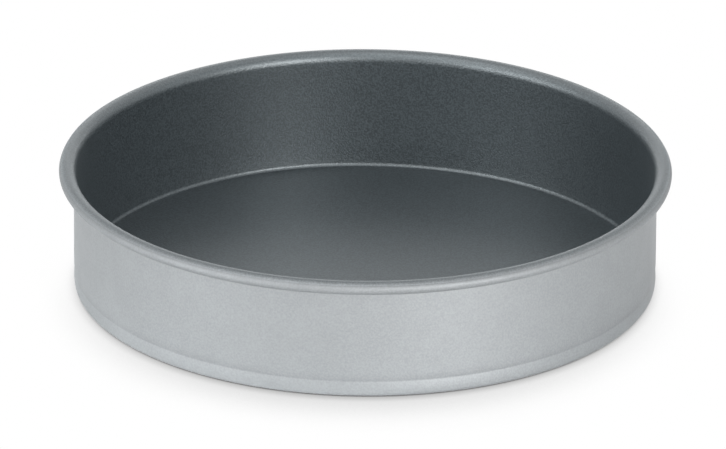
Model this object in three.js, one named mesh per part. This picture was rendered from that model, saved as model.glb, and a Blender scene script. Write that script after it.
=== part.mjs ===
// Round cake pan: one sheet of aluminium drawn into a straight-sided dish, with a
// rolled rim and a non-stick lining over the inside. Units are mm, Z is up, and the
// origin is the middle of the underside.
import * as THREE from "three";

// Shell, measured on the bare metal
const INNER_DIAMETER = 230;
const SHELL_HEIGHT = 50.3;
const SHEET_THICKNESS = 0.9;
const INNER_CORNER_RADIUS = 1.6;
const OUTER_CORNER_RADIUS = 2.0;

// Foot band: the bottom of the wall, below a shallow crease that was left when the corner was
// struck to size. Both flanks of the crease bow outwards and meet in a sharp valley.
const FOOT_BAND_HEIGHT = 6.6;
const FOOT_BAND_TAPER = 0.1;
const CREASE_DEPTH = 0.2;
const CREASE_RISE_ABOVE = 4.0;
const CREASE_RISE_BELOW = 3.6;

// Rolled rim: the wall bends outwards over the crown into a hollow curl, wider than it is tall,
// whose cut edge stops just short of the wall
const BEAD_WIDTH = 6.8;
const BEAD_HEIGHT = 5.2;
const RIM_BEND_HEIGHT = 4.1;
const CURL_GAP = 0.4;

// Lining: follows the inside face and laps over the crown of the rim
const LINING_THICKNESS = 0.1;
const LINING_BOND_GAP = 0.02;
const LINING_LAP_ANGLE = 40;

// Facets: round the pan, and along each curve of the section
const TURN_SEGMENTS = 72;
const CORNER_STEPS = 4;
const CREASE_STEPS = 3;
const CURL_STEPS = 10;
const CURL_HOLLOW_STEPS = 9;
const BEND_STEPS = 6;
const LAP_STEPS = 4;

// Sizes that follow from the ones above
const innerRadius = INNER_DIAMETER / 2;
const wallRadius = innerRadius + SHEET_THICKNESS;
const footRadius = wallRadius - FOOT_BAND_TAPER;
const beadHalfWidth = BEAD_WIDTH / 2;
const beadHalfHeight = BEAD_HEIGHT / 2;
const beadCentre = { r: innerRadius + beadHalfWidth, z: SHELL_HEIGHT - beadHalfHeight };
const bendCentre = { r: beadCentre.r, z: SHELL_HEIGHT - RIM_BEND_HEIGHT };

// Angle on the bead where the curled edge comes within the curl gap of the wall
const edgeCosine = (SHEET_THICKNESS + CURL_GAP) / beadHalfWidth - 1;
const curlEndAngle = -THREE.MathUtils.radToDeg(Math.acos(edgeCosine));

// Points on an elliptical arc of the section, from one angle (degrees) to another
function arc(centre, halfWidth, halfHeight, fromAngle, toAngle, steps) {
  const points = [];
  for (let i = 0; i <= steps; i += 1) {
    const angle = THREE.MathUtils.degToRad(fromAngle + ((toAngle - fromAngle) * i) / steps);
    const r = centre.r + halfWidth * Math.cos(angle);
    const z = centre.z + halfHeight * Math.sin(angle);
    points.push(new THREE.Vector2(r, z));
  }
  return points;
}

// Arc on the bead's section, outside the crown, shrunk (negative) or grown (positive) by an offset
function beadArc(offset, fromAngle, toAngle, steps) {
  return arc(beadCentre, beadHalfWidth + offset, beadHalfHeight + offset, fromAngle, toAngle, steps);
}

// Arc on the bend between the wall and the crown, offset in the same way
function bendArc(offset, fromAngle, toAngle, steps) {
  return arc(bendCentre, beadHalfWidth + offset, RIM_BEND_HEIGHT + offset, fromAngle, toAngle, steps);
}

// Crease from just above the foot's corner to the plain wall
function crease() {
  const points = [];
  for (let i = 0; i < CREASE_STEPS; i += 1) {
    const share = i / CREASE_STEPS;
    const z = FOOT_BAND_HEIGHT - CREASE_RISE_BELOW * (1 - share);
    points.push(new THREE.Vector2(wallRadius - CREASE_DEPTH * share * share, z));
  }
  for (let i = 0; i <= CREASE_STEPS; i += 1) {
    const share = i / CREASE_STEPS;
    const z = FOOT_BAND_HEIGHT + CREASE_RISE_ABOVE * share;
    points.push(new THREE.Vector2(wallRadius - CREASE_DEPTH * (1 - share) * (1 - share), z));
  }
  return points;
}

// Face that the lining covers, lifted off the metal by an offset: from where the lap ends
// on the rim, over the crown, down the wall and round the corner to the middle of the floor
function linedFace(offset) {
  const radius = INNER_CORNER_RADIUS - offset;
  const corner = { r: innerRadius - INNER_CORNER_RADIUS, z: SHEET_THICKNESS + INNER_CORNER_RADIUS };
  return [
    ...beadArc(offset, LINING_LAP_ANGLE, 90, LAP_STEPS),
    ...bendArc(offset, 90, 180, BEND_STEPS).slice(1),
    ...arc(corner, radius, radius, 0, -90, CORNER_STEPS),
    new THREE.Vector2(0, SHEET_THICKNESS + offset),
  ];
}

// Section of the shell: underside, foot, crease, wall, hollow side of the bend and curl, the part
// of the curl left bare, then the lined face
function shellSection() {
  const radius = OUTER_CORNER_RADIUS;
  const corner = { r: footRadius - radius, z: radius };
  return [
    new THREE.Vector2(0, 0),
    ...arc(corner, radius, radius, -90, 0, CORNER_STEPS),
    ...crease(),
    ...bendArc(-SHEET_THICKNESS, 180, 90, BEND_STEPS),
    ...beadArc(-SHEET_THICKNESS, 90, curlEndAngle, CURL_HOLLOW_STEPS).slice(1),
    ...beadArc(0, curlEndAngle, LINING_LAP_ANGLE, CURL_STEPS).slice(0, -1),
    ...linedFace(0),
  ];
}

// Section of the lining: its back against the metal, then its exposed face
function liningSection() {
  const back = linedFace(LINING_BOND_GAP).reverse();
  const face = linedFace(LINING_BOND_GAP + LINING_THICKNESS);
  return [...back, ...face];
}

// Body of revolution about Z
function turned(name, section, material) {
  const geometry = new THREE.LatheGeometry(section, TURN_SEGMENTS);
  geometry.rotateX(Math.PI / 2);
  const mesh = new THREE.Mesh(geometry, material);
  mesh.name = name;
  return mesh;
}

const aluminium = new THREE.MeshStandardMaterial({ color: 0xb6bbbe, roughness: 0.45, metalness: 1.0 });
const nonstick = new THREE.MeshStandardMaterial({ color: 0x46494b, roughness: 0.5, metalness: 0.0 });

const pan = new THREE.Group();
pan.name = "cake_pan";
pan.add(turned("pan_shell", shellSection(), aluminium));
pan.add(turned("nonstick_lining", liningSection(), nonstick));

export default pan;
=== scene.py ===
# Round cake pan: satin aluminium outside, dark non-stick lining inside, on a plain white floor.
# The pan's lengths are mm, as in the part's source. Those of the floor, lamps and camera are metres.
import math
import bpy
from mathutils import Matrix, Vector


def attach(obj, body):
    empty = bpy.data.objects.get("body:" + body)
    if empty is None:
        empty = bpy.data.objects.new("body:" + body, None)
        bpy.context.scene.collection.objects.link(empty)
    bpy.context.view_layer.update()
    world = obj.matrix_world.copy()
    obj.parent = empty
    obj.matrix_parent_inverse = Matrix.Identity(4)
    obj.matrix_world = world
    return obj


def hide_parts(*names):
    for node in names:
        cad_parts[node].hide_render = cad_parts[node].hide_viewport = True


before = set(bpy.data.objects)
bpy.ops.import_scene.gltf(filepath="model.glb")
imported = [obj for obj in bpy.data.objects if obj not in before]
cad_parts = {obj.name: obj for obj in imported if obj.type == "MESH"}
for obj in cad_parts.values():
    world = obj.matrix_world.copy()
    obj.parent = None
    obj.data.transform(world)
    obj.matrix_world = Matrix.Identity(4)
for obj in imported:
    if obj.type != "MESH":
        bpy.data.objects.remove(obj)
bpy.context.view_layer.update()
scene = bpy.context.scene
scene.view_settings.view_transform = "Standard"
MM = 0.001

# Shell, measured on the bare metal
INNER_DIAMETER = 230
SHELL_HEIGHT = 50.3
SHEET_THICKNESS = 0.9
INNER_CORNER_RADIUS = 1.6
OUTER_CORNER_RADIUS = 2.0

# Foot band and the crease above it
FOOT_BAND_HEIGHT = 6.6
FOOT_BAND_TAPER = 0.1
CREASE_DEPTH = 0.2
CREASE_RISE_ABOVE = 4.0
CREASE_RISE_BELOW = 3.6

# Rolled rim
BEAD_WIDTH = 6.8
BEAD_HEIGHT = 5.2
RIM_BEND_HEIGHT = 4.1
CURL_GAP = 0.4

# Lining
LINING_THICKNESS = 0.1
LINING_BOND_GAP = 0.02
LINING_LAP_ANGLE = 40

# Facets, and the angle in degrees above which an edge is sharp
TURN_SEGMENTS = 288
CORNER_STEPS = 10
CURL_STEPS = 40
BEND_STEPS = 24
LAP_STEPS = 16
CREASE_STEPS = 10
WALL_STEPS = 8
FLOOR_STEPS = 24
SHARP_ANGLE = 40

# Colours, linear, and the gloss of the lining
ALUMINIUM_LIGHT = (0.396, 0.417, 0.430, 1)
ALUMINIUM_DARK = (0.341, 0.360, 0.372, 1)
LINING_LIGHT = (0.033, 0.042, 0.047, 1)
LINING_DARK = (0.007, 0.010, 0.012, 1)
LINING_GLOSS_TINT = (0.87, 0.96, 1, 1)
LINING_IOR = 2.1

# Noise, as scale per metre and detail: soft clouds on both surfaces, and the fine grain of each
CLOUDS = (90, 5)
METAL_GRAIN = (1250, 3)
LINING_GRAIN = (1450, 2)

# Spans of noise over which each colour goes from dark to light, and the clouds' share of the metal's
METAL_CONTRAST = (0.35, 0.95)
LINING_CONTRAST = (0.4, 0.6)
CLOUD_SHARE = 0.3

# Relief of the grain, as depth in mm and strength
METAL_RELIEF = (0.06, 0.8)
LINING_RELIEF = (0.13, 0.9)

# Roughness: of the metal over a span of the clouds, what the haze on the curl adds to it, and of the
# lining from whole to worn, which is from no bare metal to the share given
CLOUD_SPAN = (0.3, 0.7)
METAL_ROUGHNESS = (0.485, 0.455)
HAZE_ROUGHNESS = 0.18
LINING_ROUGHNESS = (0.43, 0.60)
WORN_SHARE = 0.5

# Brightness of the metal by height at the foot: painted light on the band, painted shade in and above
# the crease, then the plain wall
FOOT_PAINTED_LIGHT_AND_SHADE = ((0, 1.0), (6.3, 1.0), (6.8, 0.89), (8.0, 0.93), (10.0, 0.97))

# Share of metal that shows through the coating: at the inner edge of the crown, on top of it, where
# the lap ends and in the haze on the curl below. The speckle is how ragged these stretches are.
EDGE_BARE = 0.12
TOP_BARE = 0.08
LAP_BARE = 0.66
CURL_BARE = 0.88
SPECKLE = 0.8

# Where they lie: the edge outwards from the bore, the top outwards from the bead's centre, and the
# haze, which fades in over this length each way at the underside of the curl
EDGE_START = 0.9
EDGE_FULL = 1.5
EDGE_END = 2.2
TOP_END = 0.9
HAZE_FADE = 1

# Floor: half its width, its drop below the pan, and its grey under the lamps and in reflections
FLOOR_HALF = 3.0
FLOOR_DROP = 0.0001
FLOOR_WHITE = (0.80, 0.80, 0.80, 1)
FLOOR_MIRRORED = (1.20, 1.20, 1.20, 1)

# Contact shadow: how far the pan shades the floor, and the grey for each share of open sky. A second,
# short one darkens the line at the foot. Both look up and to the back, so the front is in shade.
SHADOW_REACH = 0.12
SHADOW_STOPS = ((0.0, 0.12), (0.26, 0.72), (0.64, 1.0))
CONTACT_REACH = 0.006
CONTACT_SPAN = (0.1, 0.9)
CONTACT_GREY = 0.68
LEAN_BACK = 0.5
LEAN_UP = 0.866

# Light: strength of the white world on matt surfaces, then the lamps, each with its bearing and
# elevation in degrees, its width and height, its power in watts and its colour
WORLD_FILL = 0.25
LAMP_DISTANCE = 1.6
WHITE = (1, 1, 1)
WARM_WHITE = (1, 0.975, 0.96)
LAMPS = (
    ("key", 301, 19, 0.4, 0.4, 17.3, WARM_WHITE),
    ("left", 209, 19, 1.1, 0.4, 11.6, WHITE),
    ("top", 225, 62, 1.3, 1.3, 9.1, WHITE),
    ("back", 90, 30, 0.6, 0.6, 0.7, WHITE),
    ("low_back", 90, 9, 2.0, 0.25, 3.2, WHITE),
)

# Camera, fitted to the photograph's outlines; its angles are degrees, its lens and sensor mm
CAMERA_DISTANCE = 5.0
CAMERA_ELEVATION = 23.38
CAMERA_ROLL = 0.36
CAMERA_TARGET = (-0.00085, 0.0, 0.0239)
CAMERA_LENS = 621.5
SENSOR_WIDTH = 36
CLIP_END = 100

# Colour sockets of the mix node, by number because its other modes share their names
MIX_FIRST = 6
MIX_SECOND = 7
MIX_RESULT = 2

# Sizes that follow from the ones above
inner_radius = INNER_DIAMETER / 2
wall_radius = inner_radius + SHEET_THICKNESS
foot_radius = wall_radius - FOOT_BAND_TAPER
bead_half_width = BEAD_WIDTH / 2
bead_half_height = BEAD_HEIGHT / 2
bead_centre = (inner_radius + bead_half_width, SHELL_HEIGHT - bead_half_height)
bend_centre = (bead_centre[0], SHELL_HEIGHT - RIM_BEND_HEIGHT)
edge_cosine = (SHEET_THICKNESS + CURL_GAP) / bead_half_width - 1
curl_end_angle = -math.degrees(math.acos(edge_cosine))
lap_radius = bead_centre[0] + bead_half_width * math.cos(math.radians(LINING_LAP_ANGLE))
lap_height = bead_centre[1] + bead_half_height * math.sin(math.radians(LINING_LAP_ANGLE))
haze_start = SHELL_HEIGHT - BEAD_HEIGHT - HAZE_FADE
haze_full = SHELL_HEIGHT - BEAD_HEIGHT + HAZE_FADE

# Share of bare metal by radius over the crown, and by height on the outside of the rim
crown_bare = (
    (inner_radius + EDGE_START, 0),
    (inner_radius + EDGE_FULL, EDGE_BARE),
    (inner_radius + EDGE_END, EDGE_BARE),
    (bead_centre[0] + TOP_END, TOP_BARE),
    (lap_radius, LAP_BARE),
)
rim_bare = (
    (haze_start, 1.0),
    (haze_full, CURL_BARE),
    (bead_centre[1], CURL_BARE),
    (lap_height, LAP_BARE),
)


# Section curves
def line(start, end, steps):
    """Points from start to just before end."""
    return [
        (start[0] + (end[0] - start[0]) * i / steps, start[1] + (end[1] - start[1]) * i / steps)
        for i in range(steps)
    ]


def arc(centre, half_width, half_height, from_angle, to_angle, steps):
    """Points on an elliptical arc, both ends included."""
    points = []
    for i in range(steps + 1):
        angle = math.radians(from_angle + (to_angle - from_angle) * i / steps)
        r = centre[0] + half_width * math.cos(angle)
        z = centre[1] + half_height * math.sin(angle)
        points.append((r, z))
    return points


def bead_arc(offset, from_angle, to_angle, steps):
    """Arc on the bead outside the crown, shrunk or grown by an offset."""
    half_width = bead_half_width + offset
    half_height = bead_half_height + offset
    return arc(bead_centre, half_width, half_height, from_angle, to_angle, steps)


def bend_arc(offset, from_angle, to_angle, steps):
    """Arc on the bend between the wall and the crown, offset in the same way."""
    half_width = bead_half_width + offset
    half_height = RIM_BEND_HEIGHT + offset
    return arc(bend_centre, half_width, half_height, from_angle, to_angle, steps)


def crease():
    """The crease from below it to above it: two flanks that bow outwards and meet in a sharp valley."""
    points = []
    for i in range(CREASE_STEPS):
        share = i / CREASE_STEPS
        height = FOOT_BAND_HEIGHT - CREASE_RISE_BELOW * (1 - share)
        points.append((wall_radius - CREASE_DEPTH * share ** 2, height))
    for i in range(CREASE_STEPS + 1):
        share = i / CREASE_STEPS
        height = FOOT_BAND_HEIGHT + CREASE_RISE_ABOVE * share
        points.append((wall_radius - CREASE_DEPTH * (1 - share) ** 2, height))
    return points


def lined_face(offset):
    """The face the lining covers, lifted off the metal: rim, wall, corner, middle of the floor."""
    radius = INNER_CORNER_RADIUS - offset
    corner_centre = (inner_radius - INNER_CORNER_RADIUS, SHEET_THICKNESS + INNER_CORNER_RADIUS)
    lap = bead_arc(offset, LINING_LAP_ANGLE, 90, LAP_STEPS)
    rim = lap + bend_arc(offset, 90, 180, BEND_STEPS)[1:]
    corner = arc(corner_centre, radius, radius, 0, -90, CORNER_STEPS)
    wall = line(rim[-1], corner[0], WALL_STEPS)[1:]
    middle = (0, SHEET_THICKNESS + offset)
    floor_run = line(corner[-1], middle, FLOOR_STEPS)[1:]
    return rim + wall + corner + floor_run + [middle]


def shell_section():
    """Underside, foot, crease, wall, hollow side of the rim, bare part of the curl, lined face."""
    radius = OUTER_CORNER_RADIUS
    corner = arc((foot_radius - radius, radius), radius, radius, -90, 0, CORNER_STEPS)
    underside = line((0, 0), corner[0], FLOOR_STEPS)
    foot = crease()
    bend = bend_arc(-SHEET_THICKNESS, 180, 90, BEND_STEPS)
    hollow = bead_arc(-SHEET_THICKNESS, 90, curl_end_angle, CURL_STEPS)[1:]
    wall = line(foot[-1], bend[0], WALL_STEPS)[1:]
    bare_curl = bead_arc(0, curl_end_angle, LINING_LAP_ANGLE, CURL_STEPS)[:-1]
    return underside + corner + foot + wall + bend + hollow + bare_curl + lined_face(0)


def lining_section():
    """The back of the lining against the metal, then its exposed face."""
    back = lined_face(LINING_BOND_GAP)[::-1]
    face = lined_face(LINING_BOND_GAP + LINING_THICKNESS)
    return back + face


def turned(name, section):
    """A closed body of revolution about Z, whose section starts and ends on the axis."""
    verts = []
    rings = []
    for r, z in section:
        if r == 0:
            rings.append([len(verts)] * TURN_SEGMENTS)
            verts.append((0, 0, z * MM))
            continue
        ring = []
        for i in range(TURN_SEGMENTS):
            angle = 2 * math.pi * i / TURN_SEGMENTS
            ring.append(len(verts))
            verts.append((r * math.cos(angle) * MM, r * math.sin(angle) * MM, z * MM))
        rings.append(ring)
    faces = []
    for low, high in zip(rings, rings[1:]):
        for i in range(TURN_SEGMENTS):
            j = (i + 1) % TURN_SEGMENTS
            corners = (low[i], low[j], high[j], high[i])
            # Two corners are one point at the axis, where the face is a triangle
            faces.append(tuple(dict.fromkeys(corners)))
    mesh = bpy.data.meshes.new(name)
    mesh.from_pydata(verts, [], faces)
    mesh.update()
    mesh.shade_smooth()
    mesh.set_sharp_from_angle(angle=math.radians(SHARP_ANGLE))
    body = bpy.data.objects.new(name, mesh)
    scene.collection.objects.link(body)
    return body


# Shader nodes
def fill(tree, node, inputs):
    """Sets inputs of a node, each to a value or to another node's output."""
    for socket, value in inputs.items():
        if isinstance(value, bpy.types.NodeSocket):
            tree.links.new(value, node.inputs[socket])
        else:
            node.inputs[socket].default_value = value


def add(tree, kind, inputs, **properties):
    """A new node with its properties and inputs set."""
    node = tree.nodes.new(kind)
    for name, value in properties.items():
        setattr(node, name, value)
    fill(tree, node, inputs)
    return node


def shader_tree(name):
    """A new material, its nodes and its shader."""
    material = bpy.data.materials.new(name)
    material.use_nodes = True
    tree = material.node_tree
    return material, tree, tree.nodes["Principled BSDF"]


def object_place(tree):
    """The place on the object, in metres."""
    return add(tree, "ShaderNodeTexCoord", {}).outputs["Object"]


def noise(tree, place, scale, detail):
    inputs = {"Vector": place, "Scale": scale, "Detail": detail}
    return add(tree, "ShaderNodeTexNoise", inputs).outputs["Fac"]


def calculate(tree, operation, *values):
    inputs = dict(enumerate(values))
    return add(tree, "ShaderNodeMath", inputs, operation=operation).outputs["Value"]


def remap(tree, value, from_span, to_span):
    """A value carried from one span to another with soft ends, and held there outside it."""
    inputs = {
        "Value": value,
        "From Min": from_span[0],
        "From Max": from_span[1],
        "To Min": to_span[0],
        "To Max": to_span[1],
    }
    return add(tree, "ShaderNodeMapRange", inputs, interpolation_type="SMOOTHSTEP").outputs["Result"]


def mix_colour(tree, share, first, second, blend="MIX"):
    inputs = {"Factor": share, MIX_FIRST: first, MIX_SECOND: second}
    node = add(tree, "ShaderNodeMix", inputs, data_type="RGBA", blend_type=blend)
    return node.outputs[MIX_RESULT]


def bump(tree, height, depth, strength):
    inputs = {"Height": height, "Distance": depth * MM, "Strength": strength}
    return add(tree, "ShaderNodeBump", inputs).outputs["Normal"]


def grey_ramp(tree, share, stops, interpolation):
    """Grey that follows a share of 0 to 1, from pairs of share and grey."""
    node = add(tree, "ShaderNodeValToRGB", {"Fac": share})
    ramp = node.color_ramp
    ramp.interpolation = interpolation
    while len(ramp.elements) < len(stops):
        ramp.elements.new(1)
    for element, (position, grey) in zip(ramp.elements, stops):
        element.position = position
        element.color = (grey, grey, grey, 1)
    return node.outputs["Color"]


def shade_along(tree, length, shades):
    """Grey that follows a length, from pairs of mm and grey."""
    low = shades[0][0]
    high = shades[-1][0]
    inputs = {"Value": length, "From Min": low * MM, "From Max": high * MM}
    share = add(tree, "ShaderNodeMapRange", inputs).outputs["Result"]
    stops = [((place - low) / (high - low), grey) for place, grey in shades]
    return grey_ramp(tree, share, stops, "LINEAR")


def speckled(tree, length, grain):
    """A length made uneven by the grain, by up to half the speckle each way."""
    centred = calculate(tree, "SUBTRACT", grain, 0.5)
    return calculate(tree, "MULTIPLY_ADD", centred, SPECKLE * MM, length)


# Materials
def aluminium_colour(tree, clouds, grain):
    mottle = calculate(tree, "MULTIPLY_ADD", clouds, CLOUD_SHARE, grain)
    share = remap(tree, mottle, METAL_CONTRAST, (0, 1))
    return mix_colour(tree, share, ALUMINIUM_DARK, ALUMINIUM_LIGHT)


def coating_colour(tree, grain):
    share = remap(tree, grain, LINING_CONTRAST, (0, 1))
    return mix_colour(tree, share, LINING_DARK, LINING_LIGHT)


def aluminium_material():
    """Satin metal, with painted light on the foot band and painted shade at the crease, and a haze of
    coating on the outside of the rim below the lining's edge.
    """
    material, tree, shader = shader_tree("satin_aluminium")
    place = object_place(tree)
    clouds = noise(tree, place, *CLOUDS)
    grain = noise(tree, place, *METAL_GRAIN)
    height = add(tree, "ShaderNodeSeparateXYZ", {"Vector": place}).outputs["Z"]
    bare = shade_along(tree, speckled(tree, height, grain), rim_bare)
    plain = aluminium_colour(tree, clouds, grain)
    # Painted light on the foot band and painted shade at the crease, multiplied into the metal's colour
    # by height
    metal = mix_colour(tree, 1, plain, shade_along(tree, height, FOOT_PAINTED_LIGHT_AND_SHADE), "MULTIPLY")
    polish = remap(tree, clouds, CLOUD_SPAN, METAL_ROUGHNESS)
    haze = remap(tree, height, (haze_start * MM, haze_full * MM), (0, HAZE_ROUGHNESS))
    fill(tree, shader, {
        "Base Color": mix_colour(tree, bare, coating_colour(tree, grain), metal),
        "Metallic": bare,
        "Roughness": calculate(tree, "ADD", polish, haze),
        "Normal": bump(tree, grain, *METAL_RELIEF),
    })
    return material


def lining_material():
    """Dark coating, thin at the inner edge of the crown and towards its end outside the rim."""
    material, tree, shader = shader_tree("nonstick_coating")
    place = object_place(tree)
    clouds = noise(tree, place, *CLOUDS)
    grain = noise(tree, place, *LINING_GRAIN)
    flat = add(tree, "ShaderNodeVectorMath", {0: place, 1: (1, 1, 0)}, operation="MULTIPLY")
    radius = add(tree, "ShaderNodeVectorMath", {0: flat.outputs["Vector"]}, operation="LENGTH")
    bare = shade_along(tree, speckled(tree, radius.outputs["Value"], grain), crown_bare)
    metal = aluminium_colour(tree, clouds, grain)
    fill(tree, shader, {
        "Base Color": mix_colour(tree, bare, coating_colour(tree, grain), metal),
        "Metallic": bare,
        "Roughness": remap(tree, bare, (0, WORN_SHARE), LINING_ROUGHNESS),
        "Normal": bump(tree, grain, *LINING_RELIEF),
        "IOR": LINING_IOR,
        "Specular Tint": LINING_GLOSS_TINT,
    })
    return material


def open_sky(tree, reach):
    """Share of the sky that nothing within reach hides from the floor, looking up and to the back."""
    lean = add(tree, "ShaderNodeCombineXYZ", {"Y": LEAN_BACK, "Z": LEAN_UP}).outputs["Vector"]
    return add(tree, "ShaderNodeAmbientOcclusion", {"Distance": reach, "Normal": lean}).outputs["AO"]


def floor_material():
    """White floor, lit by the lamps. The camera sees a white sheet with the contact shadow on it."""
    material, tree, shader = shader_tree("white_floor")
    rays = add(tree, "ShaderNodeLightPath", {}).outputs
    mirrored = calculate(tree, "MAXIMUM", rays["Is Glossy Ray"], rays["Is Transmission Ray"])
    white = mix_colour(tree, mirrored, FLOOR_WHITE, FLOOR_MIRRORED)
    lit = add(tree, "ShaderNodeBsdfDiffuse", {"Color": white}).outputs["BSDF"]
    wide = grey_ramp(tree, open_sky(tree, SHADOW_REACH), SHADOW_STOPS, "EASE")
    close = remap(tree, open_sky(tree, CONTACT_REACH), CONTACT_SPAN, (CONTACT_GREY, 1))
    shadow = mix_colour(tree, 1, wide, close, "MULTIPLY")
    sheet = add(tree, "ShaderNodeEmission", {"Color": shadow}).outputs["Emission"]
    surface = add(tree, "ShaderNodeMixShader", {"Fac": rays["Is Camera Ray"], 1: lit, 2: sheet})
    fill(tree, tree.nodes["Material Output"], {"Surface": surface.outputs["Shader"]})
    tree.nodes.remove(shader)
    return material


# Pieces
shell = turned("pan_shell_visual", shell_section())
shell.data.materials.append(aluminium_material())
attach(shell, "root")
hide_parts("pan_shell")

lining = turned("nonstick_lining_visual", lining_section())
lining.data.materials.append(lining_material())
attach(lining, "root")
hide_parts("nonstick_lining")

# Stage
sides = (-FLOOR_HALF, FLOOR_HALF)
floor_mesh = bpy.data.meshes.new("floor")
floor_mesh.from_pydata([(x, y, 0) for y in sides for x in sides], [], [(0, 1, 3, 2)])
floor_mesh.materials.append(floor_material())
floor = bpy.data.objects.new("floor", floor_mesh)
floor.location.z = -FLOOR_DROP
scene.collection.objects.link(floor)


# Light
def white_world():
    """White to the camera and in reflections, and weaker as a light on matt surfaces."""
    world = bpy.data.worlds.new("studio")
    world.use_nodes = True
    tree = world.node_tree
    rays = add(tree, "ShaderNodeLightPath", {}).outputs
    seen = calculate(tree, "MAXIMUM", rays["Is Camera Ray"], rays["Is Glossy Ray"])
    seen = calculate(tree, "MAXIMUM", seen, rays["Is Transmission Ray"])
    strength = remap(tree, seen, (0, 1), (WORLD_FILL, 1))
    fill(tree, tree.nodes["Background"], {"Color": (*WHITE, 1), "Strength": strength})
    return world


def softbox(name, bearing, elevation, width, height, power, colour):
    """A flat lamp at a bearing round the pan, turned towards the middle of its underside."""
    lamp = bpy.data.lights.new(name, "AREA")
    lamp.shape = "RECTANGLE"
    lamp.size = width
    lamp.size_y = height
    lamp.energy = power
    lamp.color = colour
    turn = math.radians(bearing)
    rise = math.radians(elevation)
    level = math.cos(rise)
    direction = Vector((level * math.cos(turn), level * math.sin(turn), math.sin(rise)))
    holder = bpy.data.objects.new(name, lamp)
    holder.location = direction * LAMP_DISTANCE
    holder.rotation_euler = direction.to_track_quat("Z", "Y").to_euler()
    scene.collection.objects.link(holder)


scene.world = white_world()
for lamp_values in LAMPS:
    softbox(*lamp_values)

# Camera
camera_rise = math.radians(CAMERA_ELEVATION)
camera_data = bpy.data.cameras.new("camera")
camera_data.lens = CAMERA_LENS
camera_data.sensor_width = SENSOR_WIDTH
camera_data.clip_end = CLIP_END
camera = bpy.data.objects.new("camera", camera_data)
camera.location = (0, -CAMERA_DISTANCE * math.cos(camera_rise), CAMERA_DISTANCE * math.sin(camera_rise))
look = (camera.location - Vector(CAMERA_TARGET)).to_track_quat("Z", "Y").to_matrix()
camera.rotation_euler = (look @ Matrix.Rotation(math.radians(CAMERA_ROLL), 3, "Z")).to_euler()
scene.collection.objects.link(camera)
scene.camera = camera

# Bring the scene up to date
bpy.context.view_layer.update()
